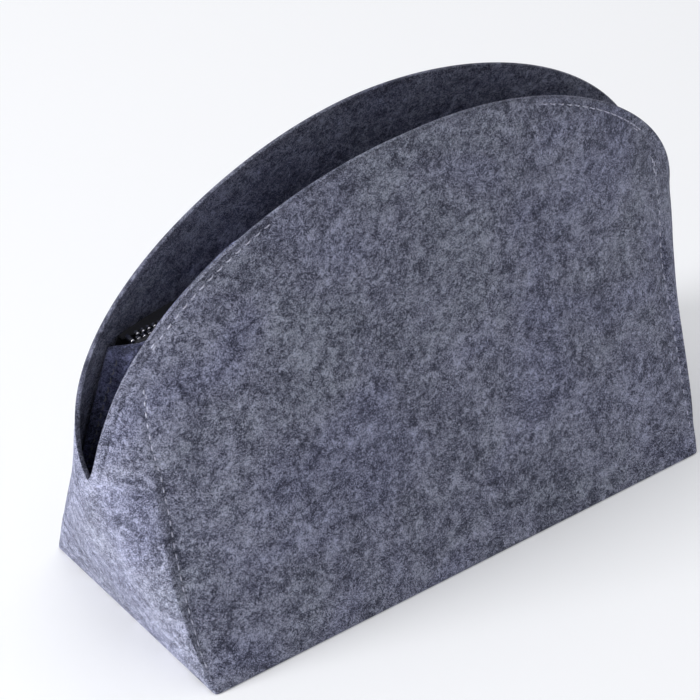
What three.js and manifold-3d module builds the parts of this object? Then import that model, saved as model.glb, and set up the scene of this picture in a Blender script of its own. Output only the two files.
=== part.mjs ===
// Purse organizer insert: a free-standing felt liner for a domed handbag.
// Front and back felt panels wrap round both ends and meet there in turned seams, a felt base closes
// the bottom, an open pocket hangs inside the front and a zip pocket inside the back.
// Millimetres. X runs along the length, -Y is the front, +Z is up, the origin is the middle of the base.
import * as THREE from 'three';
import { mergeVertices } from 'three/addons/utils/BufferGeometryUtils.js';
import Module from 'manifold-3d';

// Body: outside lengths and widths at the base, at the height of the end notches, and at the crown
const baseLength = 280;
const notchLength = 323;
const crownLength = 284;
const baseWidth = 126;
const notchWidth = 84;
const crownWidth = 38.8;
const bodyHeight = 219.5;
const notchHeight = 93.5;

// Body: plan corners go from square (0) through oval (0.5) to diamond (1) with height
const roundnessShares = { base: 0.008, notch: 0.307, crown: 0.605 };
const foldShare = 0.7; // place of the vertical fold between the end seam (1) and the middle of the face (0)
const rimSpreadPower = 2.06;
const rimRisePower = 2.54;

// Felt, and how it is sewn together
const feltThickness = 2.3;
const seamGap = 0.4;
const seamDepth = 7; // how far the edges turn in at the end seams
const seamEndLip = 0.1; // what is left of that beside the base
const seamWidening = 6; // height above the base's edge over which they widen
const seamTuck = 1.5; // how far the turned edges stay below the notch

// Base: a felt tray whose edge turns up inside the walls
const flangeHeight = 8;
const baseGap = 0.8;
const floorCornerCut = 7;
const flangeCornerCut = 10;

// Open pocket inside the front
const openPocketBelowRim = 22.5;
const openPocketEdgeInset = 1.6;
const openPocketBulge = 11;
const openPocketFlatHeight = 10; // up to here it lies against the front
const openPocketFullHeight = 88; // from here it has its whole bulge

// Zip pocket inside the back
const zipPocketBottom = 32;
const zipPocketCornerDrop = 4;
const zipPocketLip = 1.5; // felt above the tape
const zipPocketLeanPower = 0.75;

// Zip
const zipBelowRim = 72.5;
const partGap = 0.3;
const tapeThickness = 0.6;
const tapeWidth = 16;
const tapeTail = 2.3; // beyond the stops
const stripMiddle = 5; // front tape that shows beside the teeth
const stripEnd = 2.1;
const frontTapeDrop = 7;
const rowGap = 1.2; // between the two rows of teeth, where the slider's neck runs
const toothLength = 2.3;
const toothHeight = 2.6;
const toothWidth = 1.5;
const toothPitch = 3;
const toothRoot = 0.9;
const stopLength = 1.8;
const stopHeight = 3;

// Slider
const sliderLength = 11;
const sliderNoseWidth = 8;
const sliderTailWidth = 7;
const sliderCorner = 1.4;
const plateThickness = 1.2;
const lipThickness = 0.7;
const lipGap = 0.4; // between a lip and the tape
const neckWidth = 0.6;
const neckLength = 2.4;
const archLength = 6;
const archWidth = 1.8;
const archBar = 1;
const archHoleHeight = 2.1;

// Pull tab
const tabThickness = 1.1;
const tabLength = 13;
const tabWidth = 5;
const tabRootWidth = 4.6;
const tabCorner = 1.6;
const tabWindowLength = 4;
const tabWindowWidth = 2.7;
const tabSlotLength = 4.5;
const tabSlotWidth = 1.8;
const tabTipToSlot = 2.2;
const tabToWall = 0.45; // least, as the tab turns over beside the back
const pivotGap = 0.1;

const overrun = 0.2; // how far joined solids reach into each other

// Columns and rows of the felt sheets. Face columns run from the middle (0) to the fold (1),
// end columns from the fold (1) to the end seam (0). Low rows are level, shares of the notch height,
// and the rest are shares of the way on to the rim.
const faceShares = [0.1, 0.2, 0.3, 0.4, 0.5, 0.6, 0.68, 0.76, 0.83, 0.89, 0.945, 1];
const endShares = [0.82, 0.66, 0.5, 0.36, 0.23, 0.11, 0];
const tapeShares = [0.1, 0.2, 0.3, 0.4, 0.5, 0.6, 0.7, 0.79, 0.88, 0.96];
const lowRowShares = [0, 0.1, 0.25, 0.4, 0.55, 0.7, 0.8, 0.9];
const highRowShares = [0.2, 0.4, 0.6, 0.8, 1];
const pocketRowShares = [0, 0.05, 0.14, 0.26, 0.4, 0.54, 0.68, 0.79, 0.9, 1];

const tabTurnShares = [0, 0.1, 0.2, 0.3, 0.4, 0.5, 0.6, 0.7, 0.8, 0.9, 1]; // of the way up

const settleRounds = 40;

// Worked out from the sizes above
const openPocketHeight = bodyHeight - openPocketBelowRim;
const zipHeight = bodyHeight - zipBelowRim;
const layer = feltThickness + seamGap;
const chainHalfWidth = rowGap / 2 + toothLength;
const plateFromTape = toothHeight / 2 + partGap;
const crossbarRadius = tabThickness * Math.SQRT1_2;
const pivotHeight = plateFromTape + plateThickness + pivotGap + crossbarRadius;

const feltColour = 0x4a4d60;
const innerFeltColour = 0x43465a;
const tapeColour = 0x16161c;
const metalColour = 0xb9bcc2;

const wasm = await Module();
wasm.setup();

const mix = (from, to, share) => from + (to - from) * share;
const clamp01 = (value) => Math.min(1, Math.max(0, value));
const ease = (value) => clamp01(value) ** 2 * (3 - 2 * clamp01(value));

// Shape of the body

// A smooth size that passes through its values at the base, the notches and the crown
function throughHeights(z, atBase, atNotch, atCrown) {
  const t = z / bodyHeight;
  const n = notchHeight / bodyHeight;
  const base = atBase * (t - n) * (t - 1) / n;
  const notch = atNotch * t * (t - 1) / (n * (n - 1));
  const crown = atCrown * t * (t - n) / (1 - n);
  return base + notch + crown;
}

const halfLengthAt = (z) => throughHeights(z, baseLength, notchLength, crownLength) / 2;
const halfWidthAt = (z) => throughHeights(z, baseWidth, notchWidth, crownWidth) / 2;

function roundnessAt(z) {
  const { base, notch, crown } = roundnessShares;
  if (z < notchHeight) return mix(base, notch, z / notchHeight);
  return mix(notch, crown, clamp01((z - notchHeight) / (bodyHeight - notchHeight)));
}

// On the rounded plan outline, the share of one half size that goes with a share of the other
const acrossShare = (share, roundness) => clamp01(1 - Math.abs(share) ** (1 / roundness)) ** roundness;

const foldX = (z) => halfLengthAt(z) * foldShare ** roundnessAt(z);
const foldY = (z) => halfWidthAt(z) * (1 - foldShare) ** roundnessAt(z);
const rimAt = (share) => mix(notchHeight, bodyHeight, clamp01(1 - share ** rimSpreadPower) ** (1 / rimRisePower));

// A column runs up the outside of the body. Its at() gives x and the distance from the middle plane.
function faceColumn(side, share, reachAt = () => 1) {
  const at = (z) => {
    const x = share * reachAt(z) * foldX(z);
    return new THREE.Vector2(side * x, halfWidthAt(z) * acrossShare(x / halfLengthAt(z), roundnessAt(z)));
  };
  return { at, share };
}

function endColumn(side, distanceAt) {
  const at = (z) => {
    const y = distanceAt(z);
    return new THREE.Vector2(side * halfLengthAt(z) * acrossShare(y / halfWidthAt(z), roundnessAt(z)), y);
  };
  return { at, share: 1 };
}

// Columns from the left end to the right end, in mirrored pairs about the middle one
function columnsFrom(makeSide) {
  return [...makeSide(-1).reverse(), faceColumn(1, 0), ...makeSide(1)];
}

const wingColumn = (side, share) => endColumn(side, (z) => mix(seamGap / 2, foldY(z), share));

// The edge that turns in at an end seam, narrow beside the base
function turnedColumn(side) {
  const seam = wingColumn(side, 0);
  const at = (z) => {
    const depth = mix(feltThickness + seamEndLip, seamDepth, ease((z - flangeHeight) / seamWidening));
    return seam.at(z).sub(new THREE.Vector2(side * depth, 0));
  };
  return { at, share: 1, turned: true };
}

// Columns of a sheet between the folds, with a guard column past each fold that only gives its neighbour a way in
function faceColumns(shares, reachAt) {
  return columnsFrom((side) => [
    ...shares.map((share) => faceColumn(side, share, reachAt)),
    { ...wingColumn(side, endShares[0]), guard: true },
  ]);
}

const wallColumns = columnsFrom((side) => [
  ...faceShares.map((share) => faceColumn(side, share)),
  ...endShares.map((share) => wingColumn(side, share)),
  turnedColumn(side),
]);

// Found in rounds, because a column leans as it rises
function rimHeight(column) {
  let z = notchHeight;
  for (let round = 0; round < settleRounds; round += 1) {
    z = (z + rimAt(clamp01(Math.abs(column.at(z).x) / halfLengthAt(z)))) / 2;
  }
  return z;
}

// The level way in from the outside at a column, longer at a corner so that felt keeps its thickness there
function inwardAt(columns, index, z) {
  const here = columns[index].at(z);
  const normals = [];
  for (const step of [-1, 1]) {
    if (columns[index + step]) {
      const along = columns[index + step].at(z).sub(here).multiplyScalar(step).normalize();
      normals.push(new THREE.Vector2(along.y, -along.x));
    }
  }
  const [first, last] = [normals[0], normals[normals.length - 1]];
  return first.clone().add(last).divideScalar(1 + first.dot(last));
}

// The point at a depth inside the body's outside, on the front (face -1) or the back (face 1)
function bodyPoint(columns, index, z, face, depth) {
  const place = columns[index].at(z).addScaledVector(inwardAt(columns, index, z), depth);
  return new THREE.Vector3(place.x, face * place.y, z);
}

// Solids from faces

function closedGeometry(positions, triangles) {
  const geometry = new THREE.BufferGeometry();
  geometry.setAttribute('position', new THREE.Float32BufferAttribute(positions.flatMap((p) => p.toArray()), 3));
  let volume = 0;
  for (const [a, b, c] of triangles) {
    volume += positions[a].dot(positions[b].clone().cross(positions[c]));
  }
  geometry.setIndex(triangles.flatMap(([a, b, c]) => (volume < 0 ? [a, c, b] : [a, b, c])));
  geometry.computeVertexNormals();
  return geometry;
}

// A bent sheet between two grids of points, each a list of columns
function sheetGeometry(outer, inner) {
  const columns = outer.length;
  const rows = outer[0].length;
  const triangles = [];
  const quad = (a, b, c, d) => triangles.push([a, b, c], [a, c, d]);
  const out = (i, j) => i * rows + j;
  const back = (i, j) => (columns + i) * rows + j;
  for (let i = 0; i + 1 < columns; i += 1) {
    for (let j = 0; j + 1 < rows; j += 1) {
      quad(out(i, j), out(i + 1, j), out(i + 1, j + 1), out(i, j + 1));
      quad(back(i, j), back(i, j + 1), back(i + 1, j + 1), back(i + 1, j));
    }
    quad(out(i, 0), back(i, 0), back(i + 1, 0), out(i + 1, 0));
    quad(out(i, rows - 1), out(i + 1, rows - 1), back(i + 1, rows - 1), back(i, rows - 1));
  }
  for (let j = 0; j + 1 < rows; j += 1) {
    const last = columns - 1;
    quad(out(0, j), out(0, j + 1), back(0, j + 1), back(0, j));
    quad(out(last, j), back(last, j), back(last, j + 1), out(last, j + 1));
  }
  return closedGeometry([...outer.flat(), ...inner.flat()], triangles);
}

// A solid through rings of points, capped at the first and the last
function ringGeometry(rings) {
  const count = rings[0].length;
  const top = (rings.length - 1) * count;
  const triangles = [];
  for (let a = 0; a < top; a += count) {
    for (let k = 0; k < count; k += 1) {
      const next = (k + 1) % count;
      triangles.push([a + k, a + next, a + count + next], [a + k, a + count + next, a + count + k]);
    }
  }
  for (let k = 1; k + 1 < count; k += 1) {
    triangles.push([0, k + 1, k], [top, top + k, top + k + 1]);
  }
  return closedGeometry(rings.flat(), triangles);
}

const gridFrom = (columns, makeColumn) => columns.flatMap((column, index) => (
  column.guard ? [] : [makeColumn(column, index)]
));

// A layer of felt at an inset from the body's outside, with its points at the given heights
function feltSheet(columns, face, heightsAt, insetAt) {
  const gridAt = (extra) => gridFrom(columns, (column, index) => heightsAt(column).map((z) => (
    bodyPoint(columns, index, z, face, insetAt(column, z, index) + extra)
  )));
  return sheetGeometry(gridAt(0), gridAt(feltThickness));
}

function solidOf(geometry) {
  const bare = geometry.clone();
  bare.deleteAttribute('normal');
  bare.deleteAttribute('uv');
  const merged = mergeVertices(bare);
  return new wasm.Manifold(new wasm.Mesh({
    numProp: 3,
    vertProperties: new Float32Array(merged.attributes.position.array),
    triVerts: new Uint32Array(merged.index.array),
  }));
}

function geometryOf(solid) {
  const mesh = solid.getMesh();
  const geometry = new THREE.BufferGeometry();
  geometry.setAttribute('position', new THREE.BufferAttribute(new Float32Array(mesh.vertProperties), 3));
  geometry.setIndex(new THREE.BufferAttribute(new Uint32Array(mesh.triVerts), 1));
  geometry.computeVertexNormals();
  return geometry;
}

function box([x0, x1], [y0, y1], [z0, z1]) {
  const geometry = new THREE.BoxGeometry(x1 - x0, y1 - y0, z1 - z0);
  return geometry.translate((x0 + x1) / 2, (y0 + y1) / 2, (z0 + z1) / 2);
}

function extruded(shape, depth) {
  return new THREE.ExtrudeGeometry(shape, { depth, bevelEnabled: false, curveSegments: 4 });
}

// A flat plate's outline from x0 to x1, with its own width at each end and rounded corners
function plateShape(x0, x1, width0, width1, corner) {
  const [a, b] = [width0 / 2, width1 / 2];
  const shape = new THREE.Shape();
  shape.moveTo(x0 + corner, -a);
  shape.lineTo(x1 - corner, -b);
  shape.quadraticCurveTo(x1, -b, x1, -b + corner);
  shape.lineTo(x1, b - corner);
  shape.quadraticCurveTo(x1, b, x1 - corner, b);
  shape.lineTo(x0 + corner, a);
  shape.quadraticCurveTo(x0, a, x0, a - corner);
  shape.lineTo(x0, -a + corner);
  shape.quadraticCurveTo(x0, -a, x0 + corner, -a);
  return shape;
}

// Felt parts

function wallPanel(face) {
  const heightsAt = (column) => {
    const top = column.turned ? notchHeight - seamTuck : rimHeight(column);
    const low = lowRowShares.map((share) => share * notchHeight);
    return [...low, ...highRowShares.map((share) => mix(low.at(-1), top, share))];
  };
  return feltSheet(wallColumns, face, heightsAt, () => 0);
}

// One ring of the tray: it clears the walls all round, and the open pocket at the front
function trayRing(z, sizeHeight, inset, cornerCut) {
  const x = halfLengthAt(sizeHeight) - feltThickness - baseGap - inset;
  const back = halfWidthAt(sizeHeight) - feltThickness - baseGap - inset;
  const front = layer - back;
  return [
    [x, front + cornerCut], [x, back - cornerCut], [x - cornerCut, back], [cornerCut - x, back],
    [-x, back - cornerCut], [-x, front + cornerCut], [cornerCut - x, front], [x - cornerCut, front],
  ].map(([px, py]) => new THREE.Vector3(px, py, z));
}

function basePanel() {
  return ringGeometry([
    trayRing(0, 0, 0, floorCornerCut),
    trayRing(flangeHeight, flangeHeight, 0, flangeCornerCut),
    trayRing(flangeHeight, flangeHeight, feltThickness, flangeCornerCut),
    trayRing(feltThickness, 0, feltThickness, floorCornerCut),
  ]);
}

// How far the open pocket reaches towards the fold: all the way low down, and along the rim's arch above
function openPocketReach(z) {
  const slip = openPocketEdgeInset * Math.SQRT1_2;
  const height = clamp01((z + slip - notchHeight) / (bodyHeight - notchHeight));
  const arch = halfLengthAt(z + slip) * (1 - height ** rimRisePower) ** (1 / rimSpreadPower) - slip;
  return Math.min(1, arch / foldX(z));
}

function openPocketPanel() {
  const insetAt = (column, z) => {
    const fullness = ease((z - openPocketFlatHeight) / (openPocketFullHeight - openPocketFlatHeight));
    return layer + openPocketBulge * fullness * (1 - column.share ** 2);
  };
  const heights = pocketRowShares.map((share) => share * openPocketHeight);
  return feltSheet(faceColumns(faceShares, openPocketReach), -1, () => heights, insetAt);
}

const zipPocketColumns = faceColumns([...tapeShares, 1]);
const tapeEnd = foldX(zipHeight) * tapeShares.at(-1);
const toothedEnd = tapeEnd - tapeTail - stopLength - partGap;
const parkedSliderX = toothedEnd - sliderLength / 2;

// The inside of the back at a place x and a height
function backInsideAt(x, z) {
  const outsideAt = (place) => halfWidthAt(z) * acrossShare(place / halfLengthAt(z), roundnessAt(z));
  const slope = (outsideAt(x + overrun) - outsideAt(x - overrun)) / (2 * overrun);
  return outsideAt(x) - feltThickness * Math.hypot(1, slope);
}

// The zip lies as near the back as its pull tab allows, turning over at the parked slider
const zipFromCentre = Math.min(...tabTurnShares.map((share) => {
  const turn = share * Math.PI / 2;
  const tipX = parkedSliderX + tabLength * Math.cos(turn);
  const tipZ = zipHeight + pivotHeight + tabLength * Math.sin(turn);
  return backInsideAt(tipX, tipZ) - tabToWall - tabWidth / 2;
}));

// The depth of the zip pocket's felt inside the back: a layer at its side seams and bottom,
// and up to the front tape along the top
function zipPocketInset(index, z) {
  const column = zipPocketColumns[index];
  if (column.share === 1) return layer;
  const strip = mix(stripMiddle, stripEnd, (column.share / tapeShares.at(-1)) ** 2);
  const rearFace = zipFromCentre - chainHalfWidth - partGap - strip - partGap;
  const topInset = (column.at(zipHeight).y - rearFace) / -inwardAt(zipPocketColumns, index, zipHeight).y;
  const rise = clamp01((z - zipPocketBottom) / (zipHeight - zipPocketBottom));
  return mix(layer, topInset, rise ** zipPocketLeanPower);
}

function zipPocketPanel() {
  const top = zipHeight + tapeThickness / 2 + zipPocketLip;
  const heightsAt = (column) => {
    const columnTop = column.share === 1 ? top - zipPocketCornerDrop : top;
    return pocketRowShares.map((share) => mix(zipPocketBottom, columnTop, share));
  };
  return feltSheet(zipPocketColumns, 1, heightsAt, (column, z, index) => zipPocketInset(index, z));
}

// Zip, placed by zipHeight and zipFromCentre

// A tape lies flat from the teeth to its felt, and turns down along it
function tapeGeometry(face, depthAt, dropAt) {
  const columns = zipPocketColumns.map((column) => ({ ...column, guard: column.guard || column.share === 1 }));
  const chainY = zipFromCentre + face * (chainHalfWidth + partGap);
  const grid = (up, thick) => gridFrom(columns, (column, index) => {
    const z = zipHeight + up * tapeThickness / 2;
    const corner = bodyPoint(columns, index, z, 1, depthAt(index, z, thick));
    const low = zipHeight - dropAt(Math.abs(corner.y - chainY));
    const end = bodyPoint(columns, index, low, 1, depthAt(index, low, thick));
    return [new THREE.Vector3(corner.x, chainY, z), corner, end];
  });
  return sheetGeometry(grid(1, 0), grid(-1, tapeThickness));
}

function frontTape() {
  const depthAt = (index, z, thick) => zipPocketInset(index, z) - partGap - thick;
  return tapeGeometry(-1, depthAt, () => frontTapeDrop);
}

function backTape() {
  const depthAt = (index, z, thick) => feltThickness + partGap + thick;
  return tapeGeometry(1, depthAt, (span) => tapeWidth - span);
}

const toothCount = Math.floor((2 * toothedEnd - toothWidth) / toothPitch);

// A row of teeth on their root, seen from above, with the teeth towards the middle of the chain
function toothRow(face, shift) {
  const rootEdge = chainHalfWidth - toothRoot;
  const points = [[toothedEnd, rootEdge], [toothedEnd, chainHalfWidth], [-toothedEnd, chainHalfWidth],
    [-toothedEnd, rootEdge]];
  const first = -toothCount * toothPitch / 2 + shift;
  for (let tooth = 0; tooth < toothCount; tooth += 1) {
    const x = first + tooth * toothPitch;
    points.push([x, rootEdge], [x, rowGap / 2], [x + toothWidth, rowGap / 2], [x + toothWidth, rootEdge]);
  }
  const shape = new THREE.Shape(points.map(([x, y]) => new THREE.Vector2(x, face * y)));
  return extruded(shape, toothHeight).translate(0, 0, -toothHeight / 2);
}

function stop(side, y0, y1) {
  const inner = toothedEnd + partGap;
  const x = [side * inner, side * (inner + stopLength)].sort((a, b) => a - b);
  return box(x, [y0, y1], [-stopHeight / 2, stopHeight / 2]);
}

// Slider: two plates with lips round the chain, joined by the neck at the nose, and an arch on top
function sliderGeometry() {
  const half = sliderLength / 2;
  const plateTop = plateFromTape + plateThickness;
  const lipLow = tapeThickness / 2 + lipGap;
  const wide = sliderNoseWidth / 2;
  const outlineShape = plateShape(-half, half, sliderTailWidth, sliderNoseWidth, sliderCorner);
  const outline = solidOf(extruded(outlineShape, 2 * plateTop).translate(0, 0, -plateTop));
  let solid = null;
  for (const up of [-1, 1]) {
    const between = (low, high) => [up * low, up * high].sort((a, b) => a - b);
    let shell = solidOf(box([-half, half], [-wide, wide], between(lipLow, plateTop)));
    const channel = wide - lipThickness;
    shell = shell.subtract(solidOf(box([-half - overrun, half + overrun], [-channel, channel],
      between(lipLow - overrun, plateFromTape))));
    shell = shell.intersect(outline);
    solid = solid ? solid.add(shell) : shell;
  }
  const neckHalf = plateFromTape + overrun;
  const neckX = [half - partGap - neckLength, half - partGap];
  solid = solid.add(solidOf(box(neckX, [-neckWidth / 2, neckWidth / 2], [-neckHalf, neckHalf])));
  const archHalf = archLength / 2;
  const archTop = plateTop + archHoleHeight + archBar;
  const arch = solidOf(box([-archHalf, archHalf], [-archWidth / 2, archWidth / 2], [plateTop - overrun, archTop]));
  const hole = box([archBar - archHalf, archHalf - archBar], [-archWidth, archWidth],
    [plateTop, plateTop + archHoleHeight]);
  return geometryOf(solid.add(arch.subtract(solidOf(hole))));
}

// Pull tab, hinged on the bar that passes under the arch, lying towards +X
function pullTabGeometry() {
  const bar = tabThickness / 2;
  const shape = plateShape(-bar, tabLength, tabRootWidth, tabWidth, bar);
  const window = plateShape(bar, bar + tabWindowLength, tabWindowWidth, tabWindowWidth, pivotGap);
  const slotEnd = tabLength - tabTipToSlot;
  const slot = plateShape(slotEnd - tabSlotLength, slotEnd, tabSlotWidth, tabSlotWidth, tabSlotWidth / 2);
  shape.holes.push(window, slot);
  return extruded(shape, tabThickness).translate(0, 0, -tabThickness / 2);
}

// The model

function part(name, geometry, color, roughness = 0.95, metalness = 0) {
  const mesh = new THREE.Mesh(geometry, new THREE.MeshStandardMaterial({ color, roughness, metalness }));
  mesh.name = name;
  return mesh;
}

const metalPart = (name, geometry) => part(name, geometry, metalColour, 0.3, 1);

const insert = new THREE.Group();
insert.add(
  part('front_panel', wallPanel(-1), feltColour),
  part('back_panel', wallPanel(1), feltColour),
  part('base_panel', basePanel(), feltColour),
  part('front_pocket_panel', openPocketPanel(), innerFeltColour),
  part('zip_pocket_panel', zipPocketPanel(), innerFeltColour),
  part('zip_tape_front', frontTape(), tapeColour),
  part('zip_tape_back', backTape(), tapeColour),
);

const chain = new THREE.Group();
chain.position.set(0, zipFromCentre, zipHeight);
insert.add(chain);
chain.add(
  metalPart('zip_teeth_front', toothRow(-1, 0)),
  metalPart('zip_teeth_back', toothRow(1, toothPitch / 2)),
  metalPart('zip_top_stop_front', stop(1, -chainHalfWidth, -rowGap / 2)),
  metalPart('zip_top_stop_back', stop(1, rowGap / 2, chainHalfWidth)),
  metalPart('zip_bottom_stop', stop(-1, -chainHalfWidth, chainHalfWidth)),
);

const slider = new THREE.Group();
slider.position.x = parkedSliderX;
chain.add(slider);
slider.add(metalPart('zip_slider', sliderGeometry()));

const tab = metalPart('zip_pull_tab', pullTabGeometry());
tab.position.z = pivotHeight;
slider.add(tab);

export default insert;
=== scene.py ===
"""Purse organizer insert in melange felt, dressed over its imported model. Metres, +Z up, -Y is the front."""

import math

import bmesh
import bpy
import numpy as np
from mathutils import Matrix, Vector


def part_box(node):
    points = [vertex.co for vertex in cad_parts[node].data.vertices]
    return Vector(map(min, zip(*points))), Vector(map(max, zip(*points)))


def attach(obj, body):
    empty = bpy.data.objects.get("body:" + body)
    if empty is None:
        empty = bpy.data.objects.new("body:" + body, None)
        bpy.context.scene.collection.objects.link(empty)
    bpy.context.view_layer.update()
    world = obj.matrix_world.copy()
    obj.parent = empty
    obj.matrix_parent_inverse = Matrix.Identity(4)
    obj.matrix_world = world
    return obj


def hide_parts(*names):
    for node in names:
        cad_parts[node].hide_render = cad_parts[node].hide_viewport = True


MM = 0.001

# Body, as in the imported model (millimetres)
BASE_LENGTH, NOTCH_LENGTH, CROWN_LENGTH = 280.0, 323.0, 284.0
BASE_WIDTH, NOTCH_WIDTH, CROWN_WIDTH = 126.0, 84.0, 38.8
BODY_HEIGHT, NOTCH_HEIGHT = 219.5, 93.5
ROUND_BASE, ROUND_NOTCH, ROUND_CROWN = 0.008, 0.307, 0.605
FOLD_SHARE = 0.7
CREASE_FACE, CREASE_END = 0.55, 1.75
# heights at which the crease by the fold starts to grow and to fade, and over how far it does
CREASE_FROM, CREASE_UNTIL = 6.0, 88.0
CREASE_RISE, CREASE_FALL = 14.0, 52.0
SLOPE_STEP = 0.02
RIM_SPREAD_POWER, RIM_RISE_POWER = 2.06, 2.54
FELT = 2.3
FELT_EDGE = 0.75
SEAM_GAP = 0.4
END_SEAM_HALF = 0.005
SEAM_DEPTH = 7.0
FLANGE_HEIGHT = 8.0
LAYER = FELT + SEAM_GAP

OPEN_POCKET_HEIGHT = 197.0
OPEN_POCKET_EDGE_INSET = 1.6
OPEN_POCKET_BULGE = 11.0
OPEN_POCKET_FLAT, OPEN_POCKET_FULL = 10.0, 88.0
ZIP_POCKET_BOTTOM = 32.0
ZIP_POCKET_CORNER_DROP = 4.0
ZIP_POCKET_LIP = 1.5
ZIP_POCKET_LEAN = 0.75
ZIP_HEIGHT = 147.0
ZIP_Y = 12.275
PART_GAP = 0.3
TAPE_THICKNESS = 0.6
TAPE_WIDTH = 16.0
STRIP_MIDDLE, STRIP_END = 5.0, 2.1
FRONT_TAPE_DROP = 7.0
CHAIN_HALF = 2.9
TOOTH_PITCH, TOOTH_WIDTH, TOOTH_COUNT = 3.0, 1.5, 84
TAPE_LAST_SHARE = 0.96
SLIDER_X = 121.709
SLIDER_LENGTH, SLIDER_NOSE, SLIDER_TAIL = 11.0, 8.0, 7.0
PLATE_FROM_TAPE, PLATE_THICKNESS = 1.6, 1.2
LIP_THICKNESS, LIP_LOW = 0.7, 0.7
NECK_WIDTH, NECK_LENGTH = 0.5, 2.4
ARCH_LENGTH, ARCH_WIDTH, ARCH_BAR, ARCH_HOLE = 6.0, 1.8, 1.0, 2.1
PIVOT_HEIGHT = 3.678
TAB_THICKNESS, TAB_LENGTH, TAB_WIDTH, TAB_ROOT = 1.1, 13.0, 5.0, 4.6
TAB_WINDOW, TAB_WINDOW_WIDTH = 4.0, 2.7
TAB_SLOT, TAB_SLOT_WIDTH, TAB_TIP_TO_SLOT = 4.5, 1.8, 2.2
TAB_TIP_ROUND = 2.2
BASE_CLEAR, BASE_CLEAR_FRONT = FELT + 0.4, FELT + LAYER + 0.4

STITCH_PITCH = 5.44
STITCH_LENGTH = 3.6
STITCH_STEPS = 7
STITCH_SINK = 0.7
THREAD_RADIUS = 0.36
STITCH_LIFT = 0.34
STITCH_DENT = 0.45
WALL_PRESS, POCKET_PRESS = 0.35, 0.2
# a seam presses in a narrow dent under its thread and a broad, shallow one beside it
NARROW, BROAD = 0.85, 3.2
WALL_SHALLOW, POCKET_SHALLOW = 0.14, 0.15
FOLD_BROAD_END, FOLD_BROAD_FACE = 1.8, 6.0
POCKET_DENT, POCKET_NARROW = 0.4, 0.9
# the walls' slow waves die out over these heights, above the floor and below the rim
CALM_FLOOR, CALM_RIM = 14.0, 5.0
LINE_REACH = 14.0
RIM_LINE_START, RIM_LINE_END = 1.72, 0.58
RIM_INSET_LOW, RIM_INSET_HIGH = 5.6, 3.5
RIM_LINE_LOW = 72.0
RIM_STITCH_LOW = 161.5
FOLD_STITCH_TOP, FOLD_STITCH_BOTTOM = 146.0, 9.0
SEWN_TWICE = 20.0
# the fold's stitching strays from the fold itself: heights, and its places u there
FOLD_STITCH_HEIGHTS = (9.0, 30.0, 59.0, 83.0, 102.0, 112.0, 125.0, 133.0, 146.0)
FOLD_STITCH_PLACES = (0.99, 0.974, 0.967, 0.967, 0.98, 0.995, 1.03, 1.05, 1.08)
BACK_FOLD_PLACE = 0.985
POCKET_SEAM_RISE = 2.5
OPEN_POCKET_SEAM_IN, ZIP_POCKET_SEAM_IN, ZIP_POCKET_SEAM_DROP = 3.2, 2.6, 4.2
TAPE_SEAM_HEIGHT = 137.5

VIEW_FROM = (-0.87878, -1.14447, 1.22110)
VIEW_TO = (0.01437, 0.04426, 0.05390)
VIEW_LENS = 208.102
KEY_POWER, TOP_POWER = 84.0, 33.5
WORLD_STRENGTH = 0.28


def mix(a, b, t):
    return a + (b - a) * t


def ease(t):
    t = np.clip(t, 0.0, 1.0)
    return t * t * (3.0 - 2.0 * t)


def unit(vectors):
    return vectors / np.linalg.norm(vectors, axis=-1, keepdims=True)


def both_sides(half):
    """Places from 0 up, with the same ones below 0."""
    return np.concatenate([-half[::-1][:-1], half])


def lengths_along(line):
    """The length of a polyline up to each of its points."""
    return np.concatenate([[0], np.cumsum(np.linalg.norm(np.diff(line, axis=0), axis=1))])


# Shape of the body, on arrays in millimetres


def through_heights(z, base, notch, crown):
    t = z / BODY_HEIGHT
    n = NOTCH_HEIGHT / BODY_HEIGHT
    low = base * (t - n) * (t - 1) / n
    return low + notch * t * (t - 1) / (n * (n - 1)) + crown * t * (t - n) / (1 - n)


def half_length(z):
    return through_heights(z, BASE_LENGTH, NOTCH_LENGTH, CROWN_LENGTH) / 2


def half_width(z):
    return through_heights(z, BASE_WIDTH, NOTCH_WIDTH, CROWN_WIDTH) / 2


def roundness(z):
    low = mix(ROUND_BASE, ROUND_NOTCH, z / NOTCH_HEIGHT)
    above = np.clip((z - NOTCH_HEIGHT) / (BODY_HEIGHT - NOTCH_HEIGHT), 0, 1)
    high = mix(ROUND_NOTCH, ROUND_CROWN, above)
    return np.where(z < NOTCH_HEIGHT, low, high)


def across(share, power):
    return np.clip(1 - np.abs(share) ** (1 / power), 0, 1) ** power


def fold_x(z):
    return half_length(z) * FOLD_SHARE ** roundness(z)


def fold_y(z):
    return half_width(z) * (1 - FOLD_SHARE) ** roundness(z)


def rim_at(share):
    rise = np.clip(1 - np.clip(share, 0, 1) ** RIM_SPREAD_POWER, 0, 1)
    return mix(NOTCH_HEIGHT, BODY_HEIGHT, rise ** (1 / RIM_RISE_POWER))


def flattened(value, at, t):
    """value, but from t = 0 on an even curve that still ends at the fold, so that the bend gathers there."""
    t = np.clip(t, 0, 1)
    at_start, past_start, at_fold = at(0.0), at(SLOPE_STEP), at(1.0)
    slope = (past_start - at_start) / SLOPE_STEP
    return np.where(t > 0, at_start + slope * t + (at_fold - at_start - slope) * t * t, value)


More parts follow.
